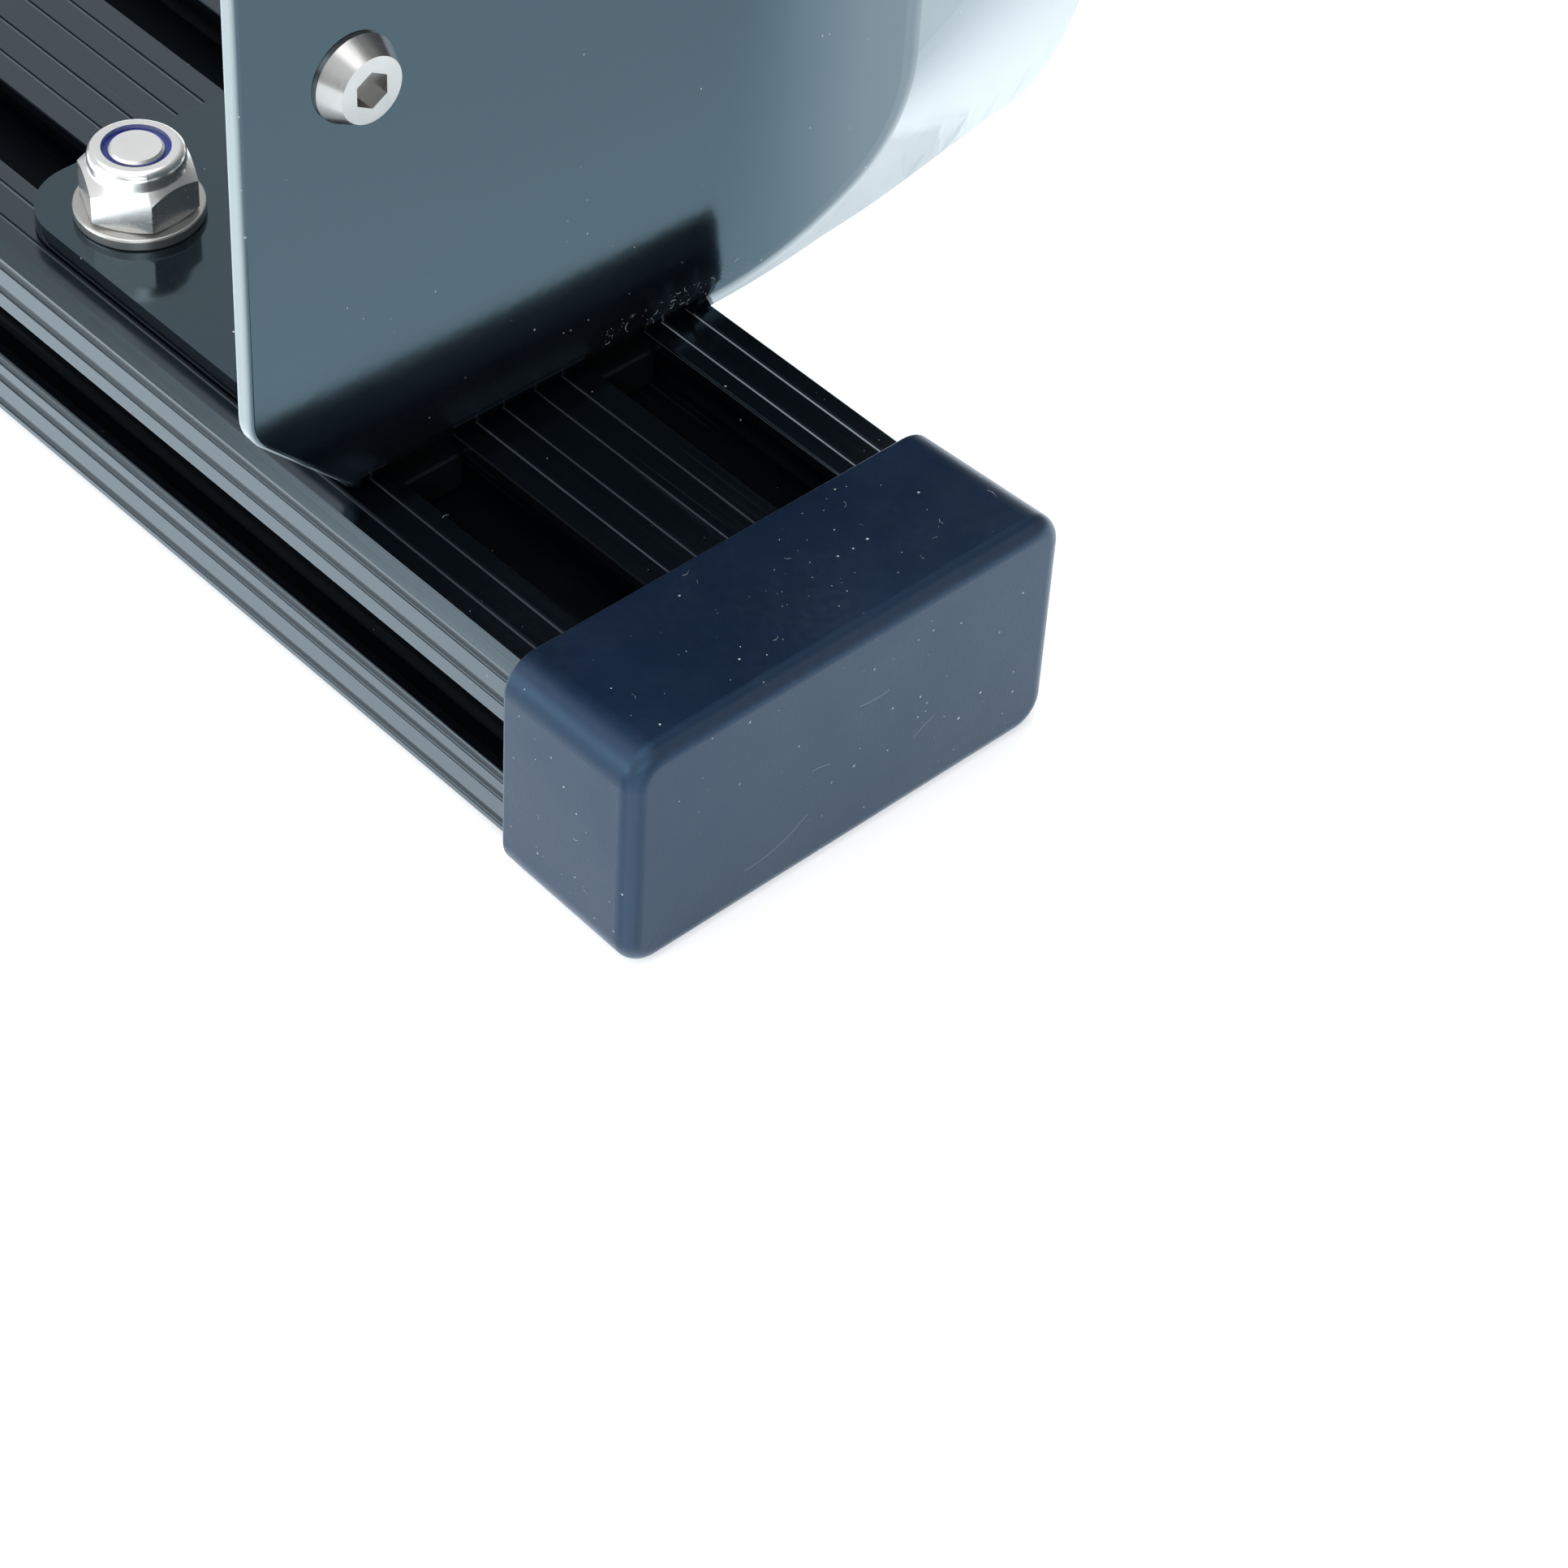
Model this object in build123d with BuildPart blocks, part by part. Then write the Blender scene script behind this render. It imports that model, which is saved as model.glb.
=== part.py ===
from build123d import *
from math import cos, radians, sin, tan
import os

# Roof rack crossbar. X runs along the bar, Y across it, Z up.
# The origin is on the floor under the middle of the bar, which lies on its two end caps.

# Crossbar extrusion
bar_length = 1150.0
bar_width = 60.0
bar_height = 26.5
corner_chamfer = 1.45
edge_radius = 0.35
side_wall = 1.4
web_wall = 1.3

# T-slots in the top face
slot_from_edge = 15.3
slot_opening = 9.6
slot_inside = 13.8
slot_lip = 1.7
slot_cavity = 5.9
slot_floor_wall = 1.6
slot_haunch = 1.5

# Groove along each side of the bar
side_slot_opening = 8.0
side_slot_level = 13.0
side_slot_depth = 6.95
side_slot_roof = 1.9
side_slot_step = 2.1
side_slot_haunch = 1.55
side_slot_slant = 2.15

# Chambers and the open channel underneath
upper_chamber_width = 4.0
lower_chamber_width = 3.4
bottom_wall = 1.3
hook_height = 1.3
hook_level = 1.4
hook_reach = 1.0

# Fine lines drawn along the extrusion: from the middle, from the edge, and up the side
middle_lines = [2.4, 6.5]
lip_lines = [4.0, 7.9]
top_line_width = 0.55
top_line_depth = 0.22
side_lines = [1.35, 5.25, 8.1, 20.1, 24.0]
side_line_width = 1.3
side_line_depth = 0.3

# Slip-over end caps
cap_end_wall = 3.0
cap_grip = 19.0
cap_wall = 2.2
cap_floor = 2.6
cap_fit = 0.05
cap_sole = 0.3
cap_flare_side = 0.4
cap_flare_top = 1.0
cap_corner_radius = 4.5
cap_edge_radius = 2.2
cap_rim_radius = 0.6

# Foot bracket, bent from sheet
sheet = 2.5
sheet_edge_radius = 0.7
bend_radius = 4.0
seat_gap = 0.3
bracket_from_cap_face = 54.5
foot_length = 67.5
foot_half_width = 25.5
foot_corner_radius = 8.5
upright_height = 85.0
upright_left = 40.5
upright_corner_radius = 10.0
flare_start = 1.5
flare_corner_radius = 6.0

# Dished wing of the bracket: its fold line leaves the bend and curls up into a vertical
fold_angle = 20.0
fold_start = 28.0
fold_rise = 2.6
fold_radius_low = 46.0
fold_sweep_low = 28.6
fold_radius_high = 16.3
fold_softness = 9.0
wing_reach = 112.0
wing_clear = 0.4
wing_flat_end = 44.0
wing_bow = 2.1
wing_tip_drop = 16.9
wing_corner_radius = 12.0

# Slot bolts and what holds them down on the foot
bolt_diameter = 8.0
bolt_head_length = 25.0
bolt_head_width = 13.0
bolt_head_height = 4.8
bolt_head_corner = 3.0
foot_bolt_front = 13.5
foot_bolt_rear = 12.3
foot_hole = 9.0
washer_outside = 16.0
washer_hole = 8.4
washer_thickness = 1.6
nut_flats = 13.0
nut_height = 8.0
nut_turn = -24.5

# Screws in the upright, which hold the leg of the foot
screw_diameter = 6.0
screw_head_diameter = 10.6
screw_head_height = 3.3
screw_head_rim = 0.6
screw_socket_flats = 4.0
screw_socket_depth = 2.0
screw_level = 58.8
screw_middle = 9.0
screw_pitch = 69.0
screw_hole = 6.6
small_washer_outside = 12.0
small_washer_hole = 6.4
small_washer_thickness = 1.6
small_nut_flats = 10.0
small_nut_height = 6.0

# Lock nut shape, the same walls in both sizes
nut_bevel = 0.6
collar_side = 0.55
collar_height = 2.5
collar_round = 1.1
collar_wall = 0.9
collar_rim = 0.6
rim_hole_extra = 0.2
point_length = 1.5
point_step = 0.65
point_chamfer = 0.3
tight = 0.05

# Places that follow from the sizes above
half_width = bar_width / 2
slot_centre = half_width - slot_from_edge
bar_bottom = cap_floor
bar_top = bar_bottom + bar_height
cap_face = bar_length / 2 + cap_end_wall
foot_bottom = bar_top + seat_gap
foot_top = foot_bottom + sheet
face_x = cap_face - bracket_from_cap_face
bend_x = face_x - bend_radius
bend_top = foot_bottom + bend_radius
foot_rear = face_x - foot_length
upright_top = bar_top + upright_height
fold_reach = wing_reach - fold_start
head_top = bar_top - slot_lip - seat_gap
foot_nut_top = foot_top + washer_thickness + nut_height
foot_bolt_x = [face_x - foot_bolt_front, foot_rear + foot_bolt_rear]
foot_bolt_places = [(x, y) for x in foot_bolt_x for y in (-slot_centre, slot_centre)]
screw_height = bar_top + screw_level
screw_places = [screw_middle - screw_pitch / 2, screw_middle + screw_pitch / 2]

os.makedirs("parts", exist_ok=True)
pieces = {}


def half_bar_outline():
    # One half of the section, from the middle outwards, (distance from middle, height on the bar)
    outer_slot = slot_centre + slot_opening / 2
    inner_slot = slot_centre - slot_opening / 2
    cavity_outer = slot_centre + slot_inside / 2
    cavity_inner = slot_centre - slot_inside / 2
    cavity_roof = bar_height - slot_lip
    cavity_floor = cavity_roof - slot_cavity
    plate_bottom = cavity_floor - slot_floor_wall
    groove_low = side_slot_level - side_slot_opening / 2
    groove_high = side_slot_level + side_slot_opening / 2
    groove_floor = groove_low - side_slot_step
    groove_roof = groove_high + side_slot_roof
    groove_back = half_width - side_slot_depth
    lip_inside = half_width - side_wall
    channel_side = groove_back - web_wall
    block_side = lip_inside - lower_chamber_width - web_wall
    return [
        (0, plate_bottom),
        (channel_side, plate_bottom),
        (channel_side, groove_low - 0.2),
        (block_side, groove_floor - 0.2),
        (block_side, hook_level + hook_height),
        (block_side - hook_reach, hook_level + hook_height),
        (block_side - hook_reach, hook_level),
        (block_side, 0),
        (half_width, 0),
        (half_width, groove_low),
        (lip_inside, groove_low),
        (lip_inside, groove_floor),
        (groove_back + side_slot_slant, groove_floor),
        (groove_back, groove_low + 0.1),
        (groove_back, groove_high),
        (groove_back + side_slot_haunch, groove_roof),
        (lip_inside, groove_roof),
        (lip_inside, groove_high),
        (half_width, groove_high),
        (half_width, bar_height - corner_chamfer),
        (half_width - corner_chamfer, bar_height),
        (outer_slot, bar_height),
        (outer_slot, cavity_roof),
        (cavity_outer + slot_haunch, cavity_roof),
        (cavity_outer + slot_haunch, cavity_floor + slot_haunch),
        (cavity_outer, cavity_floor),
        (cavity_inner, cavity_floor),
        (cavity_inner, cavity_roof),
        (inner_slot, cavity_roof),
        (inner_slot, bar_height),
        (0, bar_height),
    ]


def lip_corners(vertices):
    # The exposed corners of the slots, which the die leaves slightly rounded
    edges = [slot_centre - slot_opening / 2, slot_centre + slot_opening / 2]
    top = [v for v in vertices if v.Y > bar_height - 0.01 and round(abs(v.X), 2) in edges]
    side = [v for v in vertices if abs(v.X) > half_width - 0.01
            and abs(abs(v.Y - side_slot_level) - side_slot_opening / 2) < 0.01]
    return top + side


with BuildPart() as crossbar:
    with BuildSketch(Plane.YZ.offset(-bar_length / 2)) as section:
        with BuildLine():
            Polyline(half_bar_outline(), close=True)
        make_face()
        mirror(about=Plane.YZ)
        fillet(lip_corners(section.vertices()), radius=edge_radius)
        # closed chambers: one in the middle, two along each side
        chamber_top = bar_height - slot_lip
        chamber_floor = chamber_top - slot_cavity
        middle_half = slot_centre - slot_inside / 2 - web_wall
        with Locations((0, (chamber_top + chamber_floor) / 2)):
            Rectangle(2 * middle_half, slot_cavity, mode=Mode.SUBTRACT)
        upper_low = side_slot_level + side_slot_opening / 2 + side_slot_roof + web_wall
        upper_high = bar_height - side_wall - 0.2
        lower_high = side_slot_level - side_slot_opening / 2 - side_slot_step - side_wall
        for side in (-1, 1):
            upper_middle = half_width - side_wall - upper_chamber_width / 2
            lower_middle = half_width - side_wall - lower_chamber_width / 2
            with Locations((side * upper_middle, (upper_low + upper_high) / 2)):
                Rectangle(upper_chamber_width, upper_high - upper_low, mode=Mode.SUBTRACT)
            with Locations((side * lower_middle, (bottom_wall + lower_high) / 2)):
                Rectangle(lower_chamber_width, lower_high - bottom_wall, mode=Mode.SUBTRACT)
            # drawn lines on the top and on the sides
            for place in middle_lines + [half_width - inset for inset in lip_lines]:
                with Locations((side * place, bar_height)):
                    Rectangle(top_line_width, 2 * top_line_depth, mode=Mode.SUBTRACT)
            for level in side_lines:
                with Locations((side * half_width, level)):
                    Ellipse(side_line_depth, side_line_width / 2, mode=Mode.SUBTRACT)
    extrude(amount=bar_length)
    crossbar.part.position += (0, 0, bar_bottom)
pieces["crossbar"] = crossbar.part


def cap_outline(flare_side, flare_top):
    # Outer section of the cap, a little proud of the bar all round; its sole is cut flat later
    low = -cap_sole
    high = bar_top + cap_wall + flare_top
    wide = half_width + cap_wall + flare_side
    with Locations((0, (low + high) / 2)):
        RectangleRounded(2 * wide, high - low, radius=cap_corner_radius)


with BuildPart() as end_cap:
    with BuildSketch(Plane.YZ.offset(cap_face - cap_end_wall - cap_grip)):
        cap_outline(0, 0)
    with BuildSketch(Plane.YZ.offset(cap_face)):
        cap_outline(cap_flare_side, cap_flare_top)
    loft(ruled=True)
    fillet(end_cap.faces().sort_by(Axis.X)[-1].edges(), radius=cap_edge_radius)
    split(bisect_by=Plane.XY, keep=Keep.TOP)
    with BuildSketch(Plane.YZ.offset(cap_face - cap_end_wall)) as pocket:
        with Locations((0, bar_bottom + bar_height / 2)):
            Rectangle(bar_width + 2 * cap_fit, bar_height + 2 * cap_fit)
        upper_corners = pocket.vertices().group_by(Axis.Y)[-1]
        chamfer(upper_corners, length=corner_chamfer)
    extrude(amount=-cap_grip, mode=Mode.SUBTRACT)
    rim = end_cap.faces().sort_by(Axis.X)[0]
    fillet(rim.outer_wire().edges(), radius=cap_rim_radius)


def fold_outline(spread):
    # The fold line moved outwards by spread, closed around the flat part of the upright
    level = bar_top + fold_rise
    low_centre = (fold_start, level + fold_radius_low)
    step = fold_radius_low - fold_radius_high
    sweep = radians(fold_sweep_low)
    high_centre = (low_centre[0] + step * sin(sweep), low_centre[1] - step * cos(sweep))
    wide = high_centre[0] + fold_radius_high + spread
    left = -upright_left - bend_radius
    above = upright_top + bend_radius
    with BuildSketch() as outline:
        with BuildLine():
            Line((left, level - spread), (fold_start, level - spread))
            CenterArc(low_centre, fold_radius_low + spread, -90, fold_sweep_low)
            CenterArc(high_centre, fold_radius_high + spread, fold_sweep_low - 90,
                      90 - fold_sweep_low)
            Polyline((wide, high_centre[1]), (wide, above), (left, above), (left, level - spread))
        make_face()
    return outline.sketch


def square_edges(part):
    # Open edges where two faces meet at a right angle, which are those of a cut sheet
    found = []
    for edge in part.edges().filter_by(lambda e: not e.is_closed):
        faces = [f for f in part.faces() if any(edge.is_same(e) for e in f.edges())]
        middle = edge.position_at(0.5)
        normals = [f.normal_at(middle) for f in faces]
        if len(normals) == 2 and abs(normals[0].dot(normals[1])) < 0.3:
            found.append(edge)
    return found


# Everything behind the bracket's front face, whose margin slopes back beyond the fold line
with BuildPart() as behind_face:
    with BuildSketch(Plane.YZ.offset(face_x)):
        add(fold_outline(0))
    with BuildSketch(Plane.YZ.offset(face_x - fold_reach * tan(radians(fold_angle)))):
        add(fold_outline(fold_reach))
    loft(ruled=True)
    front_edges = behind_face.faces().sort_by(Axis.X)[-1].edges()
    fold_line = front_edges.filter_by(
        lambda e: e.center().Z < bar_top + fold_rise + 0.1 or e.center().Y > fold_start)
    fillet(fold_line.filter_by(lambda e: e.center().Z < upright_top), radius=fold_softness)

with BuildPart() as foot_bracket:
    add(behind_face.part)
    with Locations((-sheet, 0, 0)):
        add(behind_face.part, mode=Mode.SUBTRACT)
    with BuildSketch(Plane.YZ.offset(face_x)) as upright_outline:
        flare_level = bar_top + flare_start
        flare_top = flare_level + upright_left - foot_half_width
        wing_level = bar_top + wing_clear
        wing_tip = wing_level - wing_tip_drop
        with BuildLine():
            Polyline(
                (wing_flat_end, wing_level),
                (foot_half_width, wing_level),
                (foot_half_width, bend_top),
                (-foot_half_width, bend_top),
                (-foot_half_width, flare_level),
                (-upright_left, flare_top),
                (-upright_left, upright_top),
                (wing_reach, upright_top),
                (wing_reach, wing_tip),
            )
            SagittaArc((wing_reach, wing_tip), (wing_flat_end, wing_level), -wing_bow)
        make_face()
        corners = upright_outline.vertices()
        fillet(corners.filter_by(lambda v: v.X < -upright_left + 0.1 and v.Y < upright_top - 1),
               radius=flare_corner_radius)
        fillet(upright_outline.vertices().sort_by_distance((-upright_left, upright_top))[0],
               radius=upright_corner_radius)
        fillet(upright_outline.vertices().sort_by_distance((wing_reach, upright_top))[0],
               radius=wing_corner_radius)
        fillet(upright_outline.vertices().sort_by_distance((wing_reach, wing_tip))[0],
               radius=wing_corner_radius)
    extrude(amount=-fold_reach, mode=Mode.INTERSECT)
    with BuildSketch(Plane.XZ):
        with BuildLine():
            Line((bend_x, foot_bottom), (foot_rear, foot_bottom))
            Line((foot_rear, foot_bottom), (foot_rear, foot_top))
            Line((foot_rear, foot_top), (bend_x, foot_top))
            CenterArc((bend_x, bend_top), bend_radius - sheet, -90, 90)
            Line((face_x - sheet, bend_top), (face_x, bend_top))
            CenterArc((bend_x, bend_top), bend_radius, 0, -90)
        make_face()
    extrude(amount=foot_half_width, both=True)
    rear_corners = foot_bracket.edges().filter_by(Axis.Z).filter_by(
        lambda e: e.center().X < foot_rear + 0.1)
    fillet(rear_corners, radius=foot_corner_radius)
    with Locations([(x, y, foot_top) for x, y in foot_bolt_places]):
        Hole(foot_hole / 2, depth=2 * sheet)
    with BuildSketch(Plane.YZ.offset(face_x)):
        with Locations([(y, screw_height) for y in screw_places]):
            Circle(screw_hole / 2)
    extrude(amount=-2 * sheet, mode=Mode.SUBTRACT)
    rim = square_edges(foot_bracket.part)
    fillet([e for e in rim if e.center().Z > bend_top + bend_radius
            or not -foot_half_width - bend_radius < e.center().Y < wing_flat_end],
           radius=sheet_edge_radius)


def washer(outside, hole, thickness):
    with BuildPart() as ring:
        Cylinder(outside / 2, thickness, align=(Align.CENTER, Align.CENTER, Align.MIN))
        fillet(ring.edges(), radius=thickness / 5)
        Hole(hole / 2)
    return ring.part


def lock_nut(thread, flats, height):
    # Hexagon with bevelled corners, under a round collar whose rim is rolled over the insert
    collar = flats / 2 - collar_side
    body = height - collar_height
    corner = flats / 2 / cos(radians(30))
    with BuildPart() as nut:
        with BuildSketch():
            RegularPolygon(flats / 2, 6, major_radius=False)
        extrude(amount=body)
        with BuildSketch(Plane.XZ):
            with BuildLine():
                Polyline(
                    (0, 0),
                    (corner - 2 * nut_bevel, 0),
                    (corner, nut_bevel),
                    (corner, body - 2 * nut_bevel),
                    (collar, body),
                    (0, body),
                    close=True,
                )
            make_face()
        revolve(axis=Axis.Z, mode=Mode.INTERSECT)
        with BuildSketch(Plane.XY.offset(body)):
            Circle(collar)
        extrude(amount=collar_height)
        fillet(nut.edges().group_by(Axis.Z)[-1], radius=collar_round)
        with BuildSketch(Plane.XZ):
            with BuildLine():
                Polyline(
                    (0, 0),
                    (thread / 2 + tight, 0),
                    (thread / 2 + tight, body),
                    (collar - collar_wall, body),
                    (collar - collar_wall, height - collar_rim),
                    (thread / 2 + rim_hole_extra, height - collar_rim),
                    (thread / 2 + rim_hole_extra, height),
                    (0, height),
                    close=True,
                )
            make_face()
        revolve(axis=Axis.Z, mode=Mode.SUBTRACT)
    return nut.part


def nut_insert(thread, flats, height):
    # Nylon ring in the collar; its bore closes in over the point of the bolt
    outside = flats / 2 - collar_side - collar_wall - tight
    low = height - collar_height + tight
    high = height - collar_rim - tight
    neck = height - point_length
    point = thread / 2 - point_step + tight
    with BuildPart() as ring:
        with BuildSketch(Plane.XZ):
            with BuildLine():
                Polyline(
                    (thread / 2 + tight, low),
                    (outside, low),
                    (outside, high),
                    (point, high),
                    (point, neck + point_step),
                    (thread / 2 + tight, neck),
                    close=True,
                )
            make_face()
        revolve(axis=Axis.Z)
    return ring.part


def shank(thread, start, end):
    # Round shank whose stepped point is level with the top of its nut
    with BuildPart() as rod:
        with BuildSketch(Plane.XZ):
            with BuildLine():
                Polyline(
                    (0, start),
                    (thread / 2, start),
                    (thread / 2, end - point_length - tight),
                    (thread / 2 - point_step, end - point_length + point_step - tight),
                    (thread / 2 - point_step, end - point_chamfer),
                    (thread / 2 - point_step - point_chamfer, end),
                    (0, end),
                    close=True,
                )
            make_face()
        revolve(axis=Axis.Z)
    return rod.part


with BuildPart() as slot_bolt:
    with BuildSketch(Plane.XY.offset(head_top - bolt_head_height)):
        RectangleRounded(bolt_head_length, bolt_head_width, radius=bolt_head_corner)
    extrude(amount=bolt_head_height)
    chamfer(slot_bolt.edges().group_by(Axis.Z)[-1], length=point_chamfer)
    add(shank(bolt_diameter, head_top - point_chamfer, foot_nut_top))

# The upright's screw, built standing on its head: the underside of the head is at zero
screw_grip = sheet + small_washer_thickness + small_nut_height
with BuildPart() as leg_screw:
    with BuildSketch(Plane.XZ):
        with BuildLine():
            Polyline((0, -screw_head_height), (screw_socket_flats, -screw_head_height))
            ThreePointArc(
                (screw_socket_flats, -screw_head_height),
                (0.87 * screw_head_diameter / 2, -0.62 * screw_head_height),
                (screw_head_diameter / 2, -screw_head_rim),
            )
            Polyline((screw_head_diameter / 2, -screw_head_rim), (screw_head_diameter / 2, 0), (0, 0),
                     (0, -screw_head_height))
        make_face()
    revolve(axis=Axis.Z)
    add(shank(screw_diameter, -point_chamfer, screw_grip))
    with BuildSketch(Plane.XY.offset(-screw_head_height)):
        RegularPolygon(screw_socket_flats / 2, 6, major_radius=False)
    extrude(amount=screw_socket_depth, mode=Mode.SUBTRACT)

foot_washer = washer(washer_outside, washer_hole, washer_thickness)
foot_nut = lock_nut(bolt_diameter, nut_flats, nut_height)
foot_insert = nut_insert(bolt_diameter, nut_flats, nut_height)
leg_washer = washer(small_washer_outside, small_washer_hole, small_washer_thickness)
leg_nut = lock_nut(screw_diameter, small_nut_flats, small_nut_height)
leg_insert = nut_insert(screw_diameter, small_nut_flats, small_nut_height)

# Both ends of the bar carry the same cap and foot; the left ones are turned half round
for end, half_turn in (("right", 0), ("left", 180)):
    around = Rotation(0, 0, half_turn)
    pieces["end_cap_" + end] = around * end_cap.part
    pieces["foot_bracket_" + end] = around * foot_bracket.part
    for number, (x, y) in enumerate(foot_bolt_places, start=1):
        tag = end + "_" + str(number)
        seat = around * Pos(x, y, foot_top + washer_thickness)
        pieces["slot_bolt_" + tag] = around * Pos(x, y, 0) * slot_bolt.part
        pieces["foot_washer_" + tag] = around * Pos(x, y, foot_top) * foot_washer
        pieces["lock_nut_" + tag] = seat * Rotation(0, 0, nut_turn) * foot_nut
        pieces["lock_nut_insert_" + tag] = seat * foot_insert
    for number, y in enumerate(screw_places, start=1):
        tag = end + "_" + str(number)
        inward = around * Pos(face_x, y, screw_height) * Rotation(0, -90, 0)
        behind_washer = inward * Pos(0, 0, sheet + small_washer_thickness)
        pieces["leg_screw_" + tag] = inward * leg_screw.part
        pieces["leg_washer_" + tag] = inward * Pos(0, 0, sheet) * leg_washer
        pieces["leg_nut_" + tag] = behind_washer * leg_nut
        pieces["leg_nut_insert_" + tag] = behind_washer * leg_insert

for name, piece in pieces.items():
    piece.label = name
    export_step(piece, "parts/" + name + ".step")
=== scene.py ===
import math

import bmesh
import bpy
from mathutils import Matrix, Vector
from mathutils.bvhtree import BVHTree


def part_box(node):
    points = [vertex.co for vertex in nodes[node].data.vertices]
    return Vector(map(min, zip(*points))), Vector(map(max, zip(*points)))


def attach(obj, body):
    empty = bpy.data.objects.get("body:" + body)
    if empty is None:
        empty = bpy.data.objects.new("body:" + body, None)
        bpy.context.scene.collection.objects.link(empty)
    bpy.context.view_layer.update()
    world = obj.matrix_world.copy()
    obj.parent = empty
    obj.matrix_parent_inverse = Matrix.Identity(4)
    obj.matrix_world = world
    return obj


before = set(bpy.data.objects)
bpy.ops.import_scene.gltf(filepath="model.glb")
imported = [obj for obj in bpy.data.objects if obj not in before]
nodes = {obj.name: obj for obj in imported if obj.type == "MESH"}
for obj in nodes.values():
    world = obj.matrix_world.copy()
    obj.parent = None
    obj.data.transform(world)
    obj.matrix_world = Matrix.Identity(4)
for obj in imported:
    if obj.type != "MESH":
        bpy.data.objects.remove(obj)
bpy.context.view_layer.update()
print("frame loaded:", len(nodes), "nodes")

# places on the bar, in metres, read from the frame's own boxes
barLow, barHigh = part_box("crossbar")
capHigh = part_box("end_cap_right")[1]


# small helpers for node trees

def newMaterial(name):
    material = bpy.data.materials.new(name)
    material.use_nodes = True
    tree = material.node_tree
    return material, tree, tree.nodes["Principled BSDF"]


def add(tree, kind, **values):
    node = tree.nodes.new(kind)
    for key, value in values.items():
        setattr(node, key, value)
    return node


def plug(tree, value, socket):
    # a value is a constant or another socket
    if isinstance(value, bpy.types.NodeSocket):
        tree.links.new(value, socket)
    else:
        socket.default_value = value


def feed(tree, node, **values):
    # sockets by name, with spaces as underscores
    for key, value in values.items():
        plug(tree, value, node.inputs[key.replace("_", " ")])
    return node


def mixColor(tree, factor, first, second):
    node = add(tree, "ShaderNodeMix", data_type="RGBA")
    for index, value in ((0, factor), (6, first), (7, second)):  # this node's factor and colours
        plug(tree, value, node.inputs[index])
    return node.outputs[2]


def maths(tree, operation, first, second=0.0, clamp=False):
    node = add(tree, "ShaderNodeMath", operation=operation, use_clamp=clamp)
    plug(tree, first, node.inputs[0])
    plug(tree, second, node.inputs[1])
    return node.outputs[0]


def times(tree, first, *others):
    for other in others:
        first = maths(tree, "MULTIPLY", first, other)
    return first


def absolute(tree, value):
    return maths(tree, "ABSOLUTE", value)


def vectorMaths(tree, operation, *values):
    node = add(tree, "ShaderNodeVectorMath", operation=operation)
    for socket, value in zip(node.inputs, values):
        plug(tree, value, socket)
    return node.outputs


def remap(tree, value, low, high, toLow=0.0, toHigh=1.0, kind="LINEAR"):
    node = add(tree, "ShaderNodeMapRange", clamp=True, interpolation_type=kind)
    feed(tree, node, Value=value, From_Min=low, From_Max=high, To_Min=toLow, To_Max=toHigh)
    return node.outputs[0]


def objectPlace(tree):
    return add(tree, "ShaderNodeTexCoord").outputs["Object"]


def surfaceNormal(tree):
    return add(tree, "ShaderNodeNewGeometry").outputs["Normal"]


def split(tree, vector):
    # a vector's parts, read by axis
    return feed(tree, add(tree, "ShaderNodeSeparateXYZ"), Vector=vector).outputs


def stretched(tree, vector, stretch):
    return feed(tree, add(tree, "ShaderNodeMapping"), Vector=vector, Scale=stretch).outputs[0]


def noiseOf(tree, vector, scale, detail, roughness):
    node = add(tree, "ShaderNodeTexNoise")
    return feed(tree, node, Vector=vector, Scale=scale, Detail=detail, Roughness=roughness).outputs[0]


def nearestOf(tree, value, places):
    # distance from value to the nearest of the places
    nearest = None
    for place in places:
        gap = absolute(tree, maths(tree, "SUBTRACT", value, place))
        nearest = maths(tree, "MINIMUM", nearest, gap) if nearest else gap
    return nearest


def variedRoughness(tree, tone, look):
    # a little smoother where the tone is dark, a little rougher where it is light
    less, more = look["roughSpread"]
    return remap(tree, tone, 0.0, 1.0, look["roughness"] - less, look["roughness"] + more)


def bump(tree, shader, height, strength, distance, normal=None):
    node = feed(tree, add(tree, "ShaderNodeBump"), Strength=strength, Distance=distance, Height=height)
    if normal:
        tree.links.new(normal, node.inputs["Normal"])
    tree.links.new(node.outputs[0], shader.inputs["Normal"])


def newGroup(name, inputs, outputs):
    # inputs by name with their first values, a number or three; outputs by name with their kinds
    tree = bpy.data.node_groups.new(name, "ShaderNodeTree")
    for label, value in inputs.items():
        kind = "NodeSocketVector" if isinstance(value, tuple) else "NodeSocketFloat"
        tree.interface.new_socket(label, in_out="INPUT", socket_type=kind).default_value = value
    for label, kind in outputs.items():
        tree.interface.new_socket(label, in_out="OUTPUT", socket_type="NodeSocket" + kind)
    return tree, tree.nodes.new("NodeGroupInput").outputs, tree.nodes.new("NodeGroupOutput").inputs


def useGroup(tree, group, values):
    node = add(tree, "ShaderNodeGroup", node_tree=group)
    for label, value in values.items():
        plug(tree, value, node.inputs[label])
    return node.outputs


# shared effects; a noise is its scale, detail and roughness, a range its two ends and, where it
# doesn't go from none to all, the two values that it gives there

grainLook = {"roughness": 0.6, "midTone": 0.5}

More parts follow.
